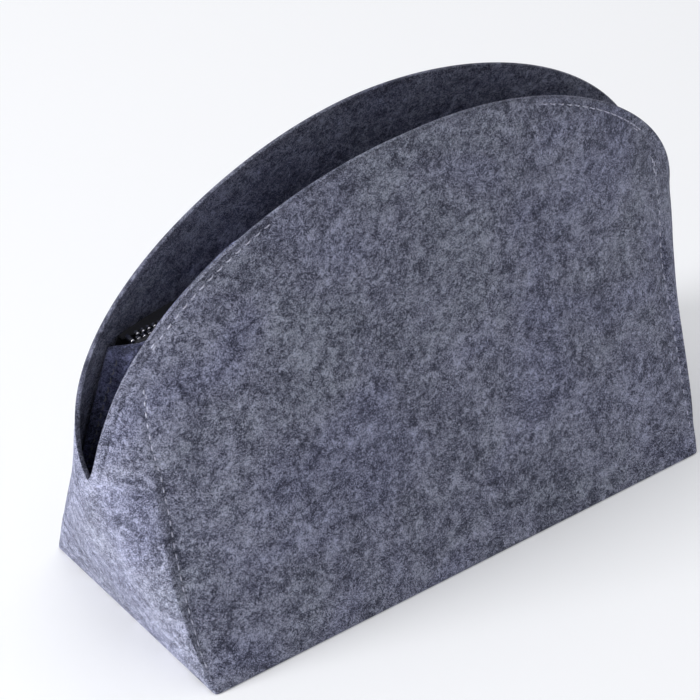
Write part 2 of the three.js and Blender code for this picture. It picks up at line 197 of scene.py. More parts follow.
def outline(u, z):
    """Plan point of the outside at place u: 0 at the face's middle, 1 at the fold and 2 at the end seam."""
    u, z = np.broadcast_arrays(np.asarray(u, float), np.asarray(z, float))
    side = np.where(u < 0, -1.0, 1.0)
    a = np.abs(u)
    hl, hw, r, fx, fy = half_length(z), half_width(z), roundness(z), fold_x(z), fold_y(z)

    def face_y(place):
        return hw * across(place * fx / hl, r)

    def end_x(place):
        return hl * across(mix(fy, END_SEAM_HALF, place - 1) / hw, r)

    crease = ease((z - CREASE_FROM) / CREASE_RISE) * (1 - ease((z - CREASE_UNTIL) / CREASE_FALL))
    x_face = np.clip(a, 0, 1) * fx
    y_face = face_y(np.clip(a, 0, 1))
    face_turn = (a - CREASE_FACE) / (1 - CREASE_FACE)
    y_flat = flattened(y_face, lambda t: face_y(mix(CREASE_FACE, 1, t)), face_turn)
    y_end = mix(fy, END_SEAM_HALF, np.clip(a - 1, 0, 1))
    x_end = end_x(np.clip(a, 1, 2))
    end_turn = (CREASE_END - a) / (CREASE_END - 1)
    x_flat = flattened(x_end, lambda t: end_x(mix(CREASE_END, 1, t)), end_turn)
    on_face = a <= 1
    x = np.where(on_face, x_face, mix(x_end, x_flat, crease))
    y = np.where(on_face, mix(y_face, y_flat, crease), y_end)
    return side * x, y


def inward(u, z, step=0.012):
    """The level way in, taken over a short stretch so that it turns smoothly at the fold."""
    u = np.asarray(u, float)
    x0, y0 = outline(np.clip(u - step, -2, 2), z)
    x1, y1 = outline(np.clip(u + step, -2, 2), z)
    dx, dy = x1 - x0, y1 - y0
    size = np.hypot(dx, dy)
    return dy / size, -dx / size


def rim_height(u):
    """The rim's height at each place u."""
    u = np.asarray(u, float)
    z = np.full(u.shape, NOTCH_HEIGHT)
    for _ in range(60):
        x, _y = outline(u, z)
        z = (z + rim_at(np.abs(x) / half_length(z))) / 2
    return z


def inset_outline(u, z, depth):
    """The outside's plan, drawn in by a depth."""
    x, y = outline(u, z)
    nx, ny = inward(u, z)
    return x + nx * depth, y + ny * depth


def body_points(u, z, depth, face):
    x, y = inset_outline(u, z, depth)
    return np.stack([x, face * y, np.broadcast_to(z, x.shape)], -1)


# Soft, slow unevenness, the same on every run


WAVE_COUNT, WAVE_SUM = 7, 3.2


def waves(x, y, z, seed, size):
    """Smooth noise from a few sine waves, about -1 to 1."""
    rng = np.random.default_rng(seed)
    total = np.zeros(np.broadcast(x, y, z).shape)
    for _ in range(WAVE_COUNT):
        k = rng.normal(size=3)
        k *= rng.uniform(0.6, 1.5) * 2 * math.pi / size / np.linalg.norm(k)
        total = total + np.sin(k[0] * x + k[1] * y + k[2] * z + rng.uniform(0, 2 * math.pi))
    return total / WAVE_SUM


def unevenness(points, *layers):
    """Waves summed at points, each layer a height, a seed and a size."""
    return sum(height * waves(*points.T, seed, size) for height, seed, size in layers)


# Meshes


def add_piece(name, mesh, material, body):
    """Puts a mesh into the scene as a smooth piece that rides with its body."""
    mesh.polygons.foreach_set("use_smooth", [True] * len(mesh.polygons))
    mesh.materials.append(material)
    obj = bpy.data.objects.new(name, mesh)
    bpy.context.scene.collection.objects.link(obj)
    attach(obj, body)
    return obj


def make_object(name, points, faces, material, body, slot_name):
    mesh = bpy.data.meshes.new(name)
    mesh.from_pydata([tuple(p) for p in np.asarray(points, float) * MM], [], faces)
    mesh.validate()
    work = bmesh.new()
    work.from_mesh(mesh)
    bmesh.ops.recalc_face_normals(work, faces=work.faces)
    work.to_mesh(mesh)
    work.free()
    return add_piece(name, mesh, material, body)


def paint_edge_shade(obj, rings, amount):
    """Paints shade on the rim's cut edge, which faces the light: its felt is darkened there."""
    depth, fade = 0.95, 0.5
    top = rings[:, :, 2].max(axis=1, keepdims=True)
    shade_marks = amount * np.clip((rings[:, :, 2] - top + depth) / fade, 0, 1)
    obj.data.attributes.new("painted_edge_shade", "FLOAT", "POINT").data.foreach_set("value", shade_marks.ravel())


def ring_quads(count, size):
    """Quads between closed rings of size points each."""
    faces = []
    for i in range(count - 1):
        for k in range(size):
            n = (k + 1) % size
            faces.append((i * size + k, i * size + n, (i + 1) * size + n, (i + 1) * size + k))
    return faces


def loft(rings):
    """Points and faces through a grid of closed rings, rings[i, k], capped in strips."""
    rings = np.asarray(rings, float)
    count, size, _ = rings.shape
    faces = ring_quads(count, size)
    for i, flip in ((0, True), (count - 1, False)):
        k, n = 0, size - 1
        while n - k > 2:
            quad = [i * size + j for j in (k, k + 1, n - 1, n)]
            faces.append(tuple(quad[::-1] if flip else quad))
            k, n = k + 1, n - 1
        if n - k == 2:
            tri = [i * size + j for j in (k, k + 1, n)]
            faces.append(tuple(tri[::-1] if flip else tri))
    return rings.reshape(-1, 3), faces


def tube(rings):
    """Points and faces through a grid of closed rings, with one flat face at each end."""
    rings = np.asarray(rings, float)
    count, size, _ = rings.shape
    last = (count - 1) * size
    faces = [tuple(range(size))[::-1], tuple(range(last, last + size))]
    return rings.reshape(-1, 3), faces + ring_quads(count, size)


def joined(shapes):
    """Several shapes' points and faces as one shape's."""
    points, faces = [], []
    for more_points, more_faces in shapes:
        base = len(points)
        points.extend(more_points)
        faces.extend(tuple(base + v for v in face) for face in more_faces)
    return points, faces


def edge_profile(thickness, radius, steps=4):
    """Depth and set-back pairs round a cut edge, from the outer face to the inner one."""
    quarter = [math.pi / 2 * i / steps for i in range(1, steps + 1)]
    start = [(radius * (1 - math.cos(a)), radius * (1 - math.sin(a))) for a in quarter]
    end = [(thickness - d, back) for d, back in reversed(start)]
    return start + end


def sheet_rings(outer_at, inner_at, bottoms, tops, rows, inner_rows, press):
    """Rings of a felt sheet, one per column. outer_at and inner_at give its faces at an array of heights."""
    profile = edge_profile(FELT, FELT_EDGE)
    depth_top = np.array([d for d, _back in profile])
    rings = []
    for i, (low, top) in enumerate(zip(bottoms, tops)):
        z_out = mix(low + FELT_EDGE, top - FELT_EDGE, rows)
        z_in = mix(low + FELT_EDGE, top - FELT_EDGE, inner_rows)[::-1]
        z_top = np.array([top - back for _d, back in profile])
        z_low = np.array([low + back for _d, back in profile])[::-1]
        z = np.concatenate([z_out, z_top, z_in, z_low])
        depth = np.concatenate([press[i], depth_top, np.full(len(inner_rows), FELT), depth_top[::-1]])
        rings.append(mix(outer_at(i, z), inner_at(i, z), (depth / FELT)[:, None]))
    return np.array(rings)


def with_height(xy, z):
    return np.concatenate([xy, np.asarray(z, float)[:, None]], 1)


# Columns of the walls: the face and the end by place u, then the corner and the edge turned in at the seam
CORNER_OUT, CORNER_IN = 0.07, 0.1
COLUMN_RUNS = ((0, 0.54, 28), (0.56, 0.932, 42), (0.94, 1.054, 20), (1.06, 1.97, 44))
LAST_COLUMNS = (1.98, 1.99, 1.996)
SEAM_PLACE = 1.995
TURN_GAP, TURN_RISE = 0.1, 6.0
CORNER_RISE, TURNED_DROP = 0.4, 1.5


def wall_columns():
    half = [("u", v) for run in COLUMN_RUNS for v in np.linspace(*run)]
    half += [("u", v) for v in LAST_COLUMNS]
    half += [("corner", a) for a in np.linspace(10, 90, 6)]
    half += [("turned", v) for v in np.linspace(0.15, 1, 6)]
    return [(-1, *c) for c in reversed(half[1:])] + [(1, *c) for c in half]


def turned_depth(z):
    return mix(FELT + TURN_GAP, SEAM_DEPTH, ease((z - FLANGE_HEIGHT) / TURN_RISE))


def wall_face(column, z, inner, face):
    side, kind, value = column
    depth = FELT if inner else 0.0
    x_end = half_length(z)
    if kind == "u":
        x, y = inset_outline(np.full(z.shape, value), z, depth)
    elif kind == "corner":
        r = CORNER_IN if inner else CORNER_OUT
        a = math.radians(value)
        x = x_end - r - depth + r * math.cos(a)
        y = np.full(z.shape, END_SEAM_HALF + r + depth - r * math.sin(a))
    else:
        start = FELT + CORNER_IN if inner else CORNER_OUT
        x = x_end - mix(start, np.maximum(turned_depth(z), start + 0.05), value)
        y = np.full(z.shape, END_SEAM_HALF + depth)
    return with_height(np.stack([side * x, face * y], -1), z)


def wall_tops(columns):
    tops = []
    for _side, kind, value in columns:
        if kind == "u":
            tops.append(float(rim_height(np.array(value))))
        elif kind == "corner":
            tops.append(NOTCH_HEIGHT + CORNER_RISE * (1 - value / 90))
        else:
            tops.append(NOTCH_HEIGHT - TURNED_DROP * value)
    return np.array(tops)


def nearest(points, line):
    """Distance from each point to a polyline, in millimetres."""
    a, b = line[:-1], line[1:]
    ab = b - a
    best = np.full(len(points), 1e9)
    for p, d in zip(a, ab):
        t = np.clip(((points - p) @ d) / (d @ d), 0, 1)
        best = np.minimum(best, np.linalg.norm(points - (p + t[:, None] * d), axis=1))
    return best


def passes(line, points):
    """Whether a polyline comes near a column of points."""
    return np.abs(line[:, 0] - points[:, 0].mean()).min() <= LINE_REACH


def dent(distance, depth, width):
    return depth * np.exp(-(distance / width) ** 2)


# Stitch lines on the outside, as places u and heights


def rim_line(side, u_from, u_to, inset_from, inset_to, count=90):
    """A line on the wall at an inset from its rim, found by halving."""
    rim_u = np.linspace(0, 2, 900)
    rim = body_points(rim_u, rim_height(rim_u), 0.0, -1)
    u = np.linspace(u_from, u_to, count)
    inset = mix(inset_from, inset_to, np.linspace(0, 1, count))
    low, high = np.zeros(count), rim_height(u)
    for _ in range(18):
        middle = (low + high) / 2
        inside = nearest(body_points(u, middle, 0.0, -1), rim) > inset
        low, high = np.where(inside, middle, low), np.where(inside, high, middle)
    return side * u, low


def wall_lines(face):
    """Stitch lines seen on a wall's outside: kind, places u and heights."""
    lines = []
    pocket_seam = ZIP_POCKET_BOTTOM + POCKET_SEAM_RISE
    for side in (-1, 1):
        if face < 0:
            u, z = rim_line(side, RIM_LINE_START, RIM_LINE_END, RIM_INSET_LOW, RIM_INSET_HIGH)
            u = np.concatenate([np.full(12, u[0]), u])
            z = np.concatenate([np.linspace(RIM_LINE_LOW, z[0] - 1.5, 12), z])
            lines.append(("rim", u, z))
            z = np.linspace(FOLD_STITCH_TOP, FOLD_STITCH_BOTTOM, 60)
            lines.append(("fold", side * np.interp(z, FOLD_STITCH_HEIGHTS, FOLD_STITCH_PLACES), z))
        else:
            z = np.linspace(ZIP_HEIGHT - ZIP_POCKET_CORNER_DROP - 1.5, pocket_seam, 60)
            lines.append(("fold", np.full(60, side * BACK_FOLD_PLACE), z))
    if face > 0:
        for place, height in ((BACK_FOLD_PLACE, pocket_seam), (TAPE_LAST_SHARE, TAPE_SEAM_HEIGHT)):
            lines.append(("flat", np.linspace(-place, place, 120), np.full(120, height)))
    return lines


def fold_dent(z):
    """How deep the stitching draws the fold in: less near its top, and not at all at the floor."""
    weak_share, weak_above, weak_over = 0.35, 128.0, 40.0
    return mix(weak_share, 1.0, ease((weak_above - z) / weak_over)) * ease((z - 2) / 10)


def wall_press(column, top, rows, polylines, face):
    """How deep a column of the wall's outside lies in, from its unevenness and the grooves of its seams."""
    _side, kind, place = column
    z = mix(FELT_EDGE, top - FELT_EDGE, rows)
    p = wall_face(column, z, False, face)
    slow = unevenness(p, (0.55, 11 + face, 95), (0.16, 5, 26))
    groove = np.zeros(len(z))
    for line_kind, line in polylines:
        if not passes(line, p):
            continue
        d = nearest(p, line)
        if line_kind == "fold":
            # the felt is drawn in over a shorter way on the end's side of the fold
            fold_place = np.interp(z, FOLD_STITCH_HEIGHTS, FOLD_STITCH_PLACES)
            on_end = (abs(place) if kind == "u" else 2) > fold_place
            beside = dent(d, fold_dent(z), np.where(on_end, FOLD_BROAD_END, FOLD_BROAD_FACE))
        else:
            beside = dent(d, WALL_SHALLOW, BROAD)
        groove = np.maximum(groove, dent(d, STITCH_DENT, NARROW) + beside)
    calm = ease(z / CALM_FLOOR) * ease((top - z) / CALM_RIM + 0.2)
    # flush at the end seam
    calm = calm * (ease((SEAM_PLACE - abs(place)) / 0.2) if kind == "u" else 0)
    return WALL_PRESS * calm + slow * calm * 0.5 + groove


def wall_piece(face, name, felt):
    columns = wall_columns()
    tops = wall_tops(columns)
    rows = np.linspace(0, 1, 118)
    lines = wall_lines(face)
    polylines = [(kind, body_points(u, z, 0.0, face)) for kind, u, z in lines]
    press = np.zeros((len(columns), len(rows)))
    for i, column in enumerate(columns):
        if column[1] != "turned":
            press[i] = wall_press(column, tops[i], rows, polylines, face)
    rings = sheet_rings(
        lambda i, z: wall_face(columns[i], z, False, face),
        lambda i, z: wall_face(columns[i], z, True, face),
        np.zeros(len(columns)), tops, rows, np.linspace(0, 1, 40), press,
    )
    obj = make_object(name, *loft(rings), felt, "body", "felt")
    # painted shade on the cut edge, fuller on the back wall than on the front
    paint_edge_shade(obj, rings, 0.75 if face < 0 else 1.0)
    return obj, lines


def reach(z):
    slip = OPEN_POCKET_EDGE_INSET * math.sqrt(0.5)
    height = np.clip((z + slip - NOTCH_HEIGHT) / (BODY_HEIGHT - NOTCH_HEIGHT), 0, 1)
    arch = half_length(z + slip) * (1 - height ** RIM_RISE_POWER) ** (1 / RIM_SPREAD_POWER) - slip
    return np.minimum(1.0, arch / fold_x(z))


def open_pocket_face(s, z, depth):
    """The open pocket's felt: s from -1 to 1 between its side edges."""
    full = ease((z - OPEN_POCKET_FLAT) / (OPEN_POCKET_FULL - OPEN_POCKET_FLAT))
    inset = LAYER + OPEN_POCKET_BULGE * full * (1 - s * s) + depth
    x, y = inset_outline(s * reach(z), z, inset)
    return with_height(np.stack([x, -y], -1), z)


def zip_inset(s, z):
    """How far the zip pocket's felt stands inside the back, up to the zip's last share."""
    strip = mix(STRIP_MIDDLE, STRIP_END, (s / TAPE_LAST_SHARE) ** 2)
    rear = ZIP_Y - CHAIN_HALF - PART_GAP - strip - PART_GAP
    _x, y = outline(s, ZIP_HEIGHT)
    _nx, ny = inward(s, ZIP_HEIGHT)
    rise = np.clip((z - ZIP_POCKET_BOTTOM) / (ZIP_HEIGHT - ZIP_POCKET_BOTTOM), 0, 1)
    return mix(LAYER, (y - rear) / -ny, rise ** ZIP_POCKET_LEAN)


def past_zip(s):
    """0 along the zip, rising to 1 from its last share to the pocket's side."""
    return np.clip((np.abs(s) - TAPE_LAST_SHARE) / (1 - TAPE_LAST_SHARE), 0, 1)


def zip_pocket_xy(s, z):
    """The outside of the zip pocket's felt, leaning in under the zip and turning to the wall past its end."""
    s, z = np.broadcast_arrays(np.asarray(s, float), np.asarray(z, float))
    near = np.where(np.abs(s) < TAPE_LAST_SHARE, s, np.sign(s) * TAPE_LAST_SHARE)
    lean = np.stack(inset_outline(near, z, zip_inset(near, z)), -1)
    seam = np.stack(inset_outline(np.sign(s), z, LAYER), -1)
    return mix(lean, seam, past_zip(s)[..., None])


def zip_pocket_face(s, z, depth):
    step = 0.006
    way = unit(zip_pocket_xy(np.clip(s + step, -1, 1), z) - zip_pocket_xy(np.clip(s - step, -1, 1), z))
    inward_way = np.stack([way[..., 1], -way[..., 0]], -1)
    return with_height(zip_pocket_xy(s, z) + inward_way * depth, z)


def pocket_piece(name, face_at, shares, bottoms, tops, felt, lines, row_count):
    rows = np.linspace(0, 1, row_count)
    press = np.zeros((len(shares), len(rows)))
    for i, s in enumerate(shares):
        z = mix(bottoms[i] + FELT_EDGE, tops[i] - FELT_EDGE, rows)
        p = face_at(np.full(z.shape, s), z, FELT)
        slow = unevenness(p, (0.5, 31, 80), (0.15, 7, 24))
        groove = np.zeros(len(z))
        for line in lines:
            if passes(line, p):
                d = nearest(p, line)
                seam = dent(d, POCKET_DENT, POCKET_NARROW) + dent(d, POCKET_SHALLOW, BROAD)
                groove = np.maximum(groove, seam)
        edge = np.minimum(1, (1 - abs(s)) / 0.05) * ease((tops[i] - z) / 6 + 0.2)
        press[i] = POCKET_PRESS + slow * 0.4 * edge + groove
    # the pressed side is the inner one here, so the sheet is drawn from its inner face
    rings = sheet_rings(
        lambda i, z: face_at(np.full(z.shape, shares[i]), z, FELT),
        lambda i, z: face_at(np.full(z.shape, shares[i]), z, 0.0),
        bottoms, tops, rows, np.linspace(0, 1, row_count // 2), press,
    )
    return make_object(name, *loft(rings), felt, "body", "felt")


# Stitches: two strands twisted round each other, whose ends sink into the felt
STITCH_SQUARE = 3.2
STRAND_SIDES = 5
# shares of the thread's radius: a strand's own radius and how far out it winds, flatter across the felt
STRAND_RADIUS, STRAND_OUT, STRAND_FLAT = 0.62, 0.55, 0.7
STRAND_TURN = 2.2 * math.pi
FIRST_STITCH, SECOND_ROW_STITCH, INNER_FIRST_STITCH = 1.2, 3.6, 1.0
RIM_DOUBLE_GAP, FOLD_DOUBLE_GAP = 1.1, 0.95
INNER_SINK = 0.35


def stitch_points(line, normals, phase):
    """Centre lines and outward directions of the stitches along a polyline, from phase on."""
    lengths = lengths_along(line)
    t = np.linspace(-1, 1, STITCH_STEPS + 1)
    rise = STITCH_LIFT - (STITCH_LIFT + STITCH_SINK) * np.abs(t) ** STITCH_SQUARE
    out = []
    for i in range(int((lengths[-1] - phase) // STITCH_PITCH)):
        at = phase + i * STITCH_PITCH + np.linspace(0, STITCH_LENGTH, STITCH_STEPS + 1)
        if at[-1] > lengths[-1]:
            break
        p, n = (np.stack([np.interp(at, lengths, row) for row in rows.T], 1) for rows in (line, normals))
        n = unit(n)
        out.append((p + n * rise[:, None], n))
    return out


def strand(centre, normal, start):
    """One of a stitch's two strands, wound round its centre line."""
    across_line = np.cross(unit(np.gradient(centre, axis=0)), normal)
    turn = (start + np.linspace(0, STRAND_TURN, len(centre)))[:, None]
    out = np.cos(turn) * across_line + np.sin(turn) * normal * STRAND_FLAT
    mid = centre + THREAD_RADIUS * STRAND_OUT * out
    a = (2 * math.pi * np.arange(STRAND_SIDES) / STRAND_SIDES)[None, :, None]
    around = np.cos(a) * across_line[:, None] + np.sin(a) * normal[:, None]
    return tube(mid[:, None] + THREAD_RADIUS * STRAND_RADIUS * around)


def add_stitches(name, runs, thread):
    shapes = [strand(centre, normal, start) for centre, normal in runs for start in (0, math.pi)]
    return make_object(name, *joined(shapes), thread, "body", "felt")


def outward(u, z, face):
    nx, ny = inward(u, z)
    return unit(np.stack([-nx, -face * ny, np.zeros_like(nx)], -1))


def wall_stitches(name, face, lines, thread):
    runs = []
    for kind, u, z in lines:
        sunk = WALL_PRESS + STITCH_DENT
        sunk = sunk + (fold_dent(z) + 0.12 * ease((118 - z) / 12) if kind == "fold" else 0.1)
        line = body_points(u, z, sunk - 0.1, face)
        normals = outward(u, z, face)
        beside = unit(np.cross(normals, np.gradient(line, axis=0)))
        if kind == "rim":
            start = float(np.interp(RIM_STITCH_LOW, z, lengths_along(line)))
            runs += stitch_points(line, normals, start)
            # the first stitch is doubled
            runs += stitch_points(line + beside * RIM_DOUBLE_GAP, normals, start + FIRST_STITCH)[:1]
        else:
            runs += stitch_points(line, normals, FIRST_STITCH)
        if kind == "fold" and face < 0:
            # the upper end is sewn twice, a thread's width or two apart
            upper = z > FOLD_STITCH_TOP - SEWN_TWICE
            again = (line + beside * FOLD_DOUBLE_GAP)[upper]
            runs += stitch_points(again, normals[upper], SECOND_ROW_STITCH)
    return add_stitches(name, runs, thread)


def inner_stitches(name, lines, face, thread):
    runs = []
    to_middle = np.array([0.0, -face, 0.0])
    for line in lines:
        along = unit(np.gradient(line, axis=0))
        normals = unit(to_middle - along * (along @ to_middle)[:, None])
        runs += stitch_points(line - normals * INNER_SINK, normals, INNER_FIRST_STITCH)
    return add_stitches(name, runs, thread)


# Base: a floor of felt whose edge turns up inside the walls


def oval(us, z, inset_end, inset_front, inset_back):
    """Plan loop round the body at a height, drawn in by its own amount at the ends, front and back."""
    loop = []
    for face, inset in ((-1, inset_front), (1, inset_back)):
        u = us if face < 0 else us[::-1][1:-1]
        a = np.abs(u)
        hl, hw, r = half_length(z) - inset_end, half_width(z) - inset, float(roundness(z))
        x_face = np.clip(a, 0, 1) * hl * FOLD_SHARE ** r
        y_face = hw * across(x_face / hl, r)
        y_end = mix(hw * (1 - FOLD_SHARE) ** r, 0.0, np.clip(a - 1, 0, 1))
        x_end = hl * across(y_end / hw, r)
        x = np.where(a <= 1, x_face, x_end) * np.sign(u)
        y = face * np.where(a <= 1, y_face, y_end)
        loop.append(np.stack([x, y, np.full(x.shape, z)], -1))
    return np.concatenate(loop)


def base_piece(felt):
    runs = ((0, 0.9, 60), (0.91, 1.2, 30), (1.22, 2.0, 22))
    us = both_sides(np.concatenate([np.linspace(*run) for run in runs]))
    bend, tight, edge = 2.6, 0.9, FELT_EDGE
    right = math.pi / 2

    def rounding(inset, z, along, up, angles):
        """Steps round a quarter circle, from (inset, z) with its own reach each way."""
        return [(inset + along * (1 - math.cos(a)), z + up * (1 - math.sin(a)), 1.0) for a in angles]

    # each step is an inset, a height and the share of the plan that the ring keeps
    steps = [(bend, 0.0, s) for s in (0.015, 0.2, 0.4, 0.6, 0.8, 0.93, 1.0)]
    steps += [(bend * (1 - math.sin(a)), bend * (1 - math.cos(a)), 1.0) for a in np.linspace(0.25, right, 6)]
    steps += [(0.0, z, 1.0) for z in (4.0, 5.6, FLANGE_HEIGHT - edge)]
    steps += rounding(0.0, FLANGE_HEIGHT, edge, -edge, np.linspace(0.4, right, 4))
    steps += rounding(FELT, FLANGE_HEIGHT, -edge, -edge, np.linspace(right, 0, 5))
    steps += [(FELT, z, 1.0) for z in (5.6, 4.2)]
    steps += rounding(FELT, FELT, tight, tight, np.linspace(0, right, 5))
    steps += [(FELT + tight, FELT, s) for s in (0.985, 0.96, 0.9, 0.8, 0.65, 0.5, 0.35, 0.2, 0.015)]
    rings = []
    for inset, z, scale in steps:
        ring = oval(us, max(z, 0.0), BASE_CLEAR + inset, BASE_CLEAR_FRONT + inset, BASE_CLEAR + inset)
        ring[:, :2] *= scale
        if z == FELT and scale < 0.99:
            slow = np.maximum(waves(ring[:, 0], ring[:, 1], np.zeros(len(ring)), 41, 70), -0.4)
            ring[:, 2] += 0.25 * slow * (1 - scale) ** 0.3
        rings.append(ring)
    return make_object("base_felt", *tube(rings), felt, "body", "felt")


# Zip


def tape_piece(name, face, material):
    """A tape that lies flat beside the teeth and turns down along its felt."""
    half = TAPE_THICKNESS / 2
    chain_y = ZIP_Y + face * (CHAIN_HALF - 0.6)

    def on_felt(s, z):
        """The tape's middle, where it lies along its felt."""
        s = np.full(z.shape, s)
        if face < 0:
            return zip_pocket_face(s, z, -PART_GAP - half)
        return body_points(s, z, FELT + PART_GAP + half, 1)

    a = np.linspace(0, math.pi / 2, 6)[1:-1]
    quarter = np.stack([np.sin(a), np.sin(a), 1 - np.cos(a)], -1)
    rings = []
    for s in np.linspace(-TAPE_LAST_SHARE, TAPE_LAST_SHARE, 241):
        corner = on_felt(s, np.array([ZIP_HEIGHT]))[0]
        span = abs(corner[1] - (ZIP_Y + face * (CHAIN_HALF + PART_GAP)))
        drop = FRONT_TAPE_DROP if face < 0 else TAPE_WIDTH - span
        bend = min(1.1, 0.45 * abs(corner[1] - chain_y))
        low = on_felt(s, np.linspace(ZIP_HEIGHT - bend, ZIP_HEIGHT - drop, 7))
        flat_y = np.linspace(chain_y, corner[1] - face * bend, 8)
        flat = np.stack([np.full(8, corner[0]), flat_y, np.full(8, ZIP_HEIGHT)], -1)
        path = np.concatenate([flat, flat[-1] + (low[0] - flat[-1]) * quarter, low])
        way = np.gradient(path, axis=0)
        way[:, 0] = 0
        way = unit(way)
        normal = np.stack([np.zeros(len(way)), -way[:, 2] * face, way[:, 1] * face], -1)
        normal = np.where(normal[:, 2:3] < 0, -normal, normal) if face < 0 else normal
        rings.append(np.concatenate([path + normal * half, (path - normal * half)[::-1]]))
    return make_object(name, *loft(rings), material, "body", "zip_tape")


def tooth_rows(name, face, metal):
    """One row of teeth, each a head, a waist and a thicker root that closes over the tape's edge."""
    # place across, width and height of a tooth's sections, from its head to its root
    sections = [
        (0.32, 1.2, 1.4), (0.42, 1.55, 1.8), (0.7, 1.8, 2.2), (1.05, 1.85, 2.42),
        (1.35, 1.75, 2.45), (1.7, 1.6, 2.3), (2.0, 1.75, 2.45), (2.3, 1.85, 2.58),
        (2.6, 1.85, 2.5), (2.8, 1.7, 2.25), (2.9, 1.4, 1.9),
    ]
    cut = 0.62
    ring = [(1, cut), (cut, 1), (-cut, 1), (-1, cut), (-1, -cut), (-cut, -1), (cut, -1), (1, -cut)]
    points, faces = tube([[(a * w / 2, face * y, b * h / 2) for a, b in ring] for y, w, h in sections])
    shift = 0.0 if face < 0 else TOOTH_PITCH / 2
    first = -TOOTH_COUNT * TOOTH_PITCH / 2 + shift + TOOTH_WIDTH / 2
    places = [np.array([first + i * TOOTH_PITCH, ZIP_Y, ZIP_HEIGHT]) for i in range(TOOTH_COUNT)]
    teeth = joined([(points + at, faces) for at in places])
    return make_object(name, *teeth, metal, "body", "zip_metal")


def rounded_box(name, low, high, radius, material, body):
    """A block with rounded edges. Corners in millimetres."""
    mesh = bpy.data.meshes.new(name)
    work = bmesh.new()
    bmesh.ops.create_cube(work, size=1.0)
    low, high = np.array(low), np.array(high)
    for v in work.verts:
        v.co = Vector(((low + high) / 2 + np.array(v.co) * (high - low)) * MM)
    bmesh.ops.bevel(work, geom=work.edges[:], offset=radius * MM, segments=3, affect="EDGES", profile=0.5)
    work.to_mesh(mesh)
    work.free()
    return add_piece(name, mesh, material, body)


def plate_outline(x0, x1, w0, w1, corner, inset=0.0, steps=5):
    """Rounded outline, w0 wide at x0 and w1 at x1, drawn in by inset."""
    x0, x1 = x0 + inset, x1 - inset
    w0, w1 = w0 / 2 - inset, w1 / 2 - inset
    r = max(corner - inset, 0.05)
    centres = [(x1 - r, w1 - r, 0), (x0 + r, w0 - r, 90), (x0 + r, -w0 + r, 180), (x1 - r, -w1 + r, 270)]
    points = []
    for cx, cy, start in centres:
        for i in range(steps + 1):
            a = math.radians(start + 90 * i / steps)
            points.append((cx + r * math.cos(a), cy + r * math.sin(a)))
    return np.array(points)


def stacked(outlines_heights, at):
    """A closed solid through plan outlines at heights, capped at both ends."""
    return tube([np.column_stack([o, np.full(len(o), z)]) + at for o, z in outlines_heights])


def swept_bar(path, widths, thickness, at):
    """A rounded flat bar along a path in the XZ plane, its width along Y."""
    sides = 20
    rings = []
    for p, d, w in zip(path, unit(np.gradient(path, axis=0)), widths):
        ring = []
        for k in range(sides):
            a = 2 * math.pi * k / sides
            c, s = math.cos(a), math.sin(a)
            out = thickness / 2 * math.copysign(abs(s) ** 0.7, s)
            ring.append((p[0] - d[1] * out, w / 2 * math.copysign(abs(c) ** 0.55, c), p[1] + d[0] * out))
        rings.append(ring)
    points, faces = tube(rings)
    return points + at, faces


def slider_lip(path, side, up, root, at):
    """A lip turned in towards the tape along one side of a plate."""
    soft = 0.18
    tip = up * LIP_LOW
    rings = []
    for x, y in path:
        outer, inner = side * (y - 0.04), side * (y - LIP_THICKNESS)
        rings.append([
            (x, outer, root), (x, outer, tip + up * soft), (x, outer - side * soft, tip),
            (x, inner + side * soft, tip), (x, inner, tip + up * soft), (x, inner, root),
        ])
    points, faces = loft(rings)
    return points + at, faces


def slider_piece(metal):
    at = np.array([SLIDER_X, ZIP_Y, ZIP_HEIGHT])
    half, corner = SLIDER_LENGTH / 2, 1.4
    low, high = PLATE_FROM_TAPE, PLATE_FROM_TAPE + PLATE_THICKNESS
    # insets and heights of a plate's rings, rounded most at its outer edge
    levels = [
        (0.35, low), (0.06, low + 0.1), (0.0, low + 0.25),
        (0.0, high - 0.6), (0.1, high - 0.34), (0.35, high - 0.14),
        (0.8, high - 0.04), (1.6, high), (2.6, high),
    ]
    middle = (SLIDER_NOSE + SLIDER_TAIL) / 4
    lip_path = [(-half + corner, SLIDER_TAIL / 2), (0.0, middle), (half - corner, SLIDER_NOSE / 2)]
    shapes = []
    for up in (1, -1):
        plate = [(plate_outline(-half, half, SLIDER_TAIL, SLIDER_NOSE, corner, i), up * z) for i, z in levels]
        shapes.append(stacked(plate, at))
        shapes += [slider_lip(lip_path, side, up, up * (low + 0.4), at) for side in (-1, 1)]
    neck_end = half - PART_GAP
    neck = plate_outline(neck_end - NECK_LENGTH, neck_end, NECK_WIDTH, NECK_WIDTH, NECK_WIDTH * 0.42)
    neck_half = low + 0.3
    shapes.append(stacked([(neck, -neck_half), (neck, neck_half)], at))
    # the arch starts a little inside the plate
    sunk = 0.25
    t = np.linspace(0, math.pi, 25)
    arch_x = (ARCH_LENGTH / 2 - 0.5) * np.copysign(np.abs(np.cos(t)) ** 0.55, np.cos(t))
    arch_z = high - sunk + (ARCH_HOLE + ARCH_BAR / 2 + sunk) * np.sin(t) ** 0.6
    widths = ARCH_WIDTH * (1.0 - 0.12 * np.sin(t))
    shapes.append(swept_bar(np.stack([-arch_x, arch_z], 1), widths, ARCH_BAR * 0.92, at))
    return make_object("slider_metal", *joined(shapes), metal, "slider", "zip_metal")


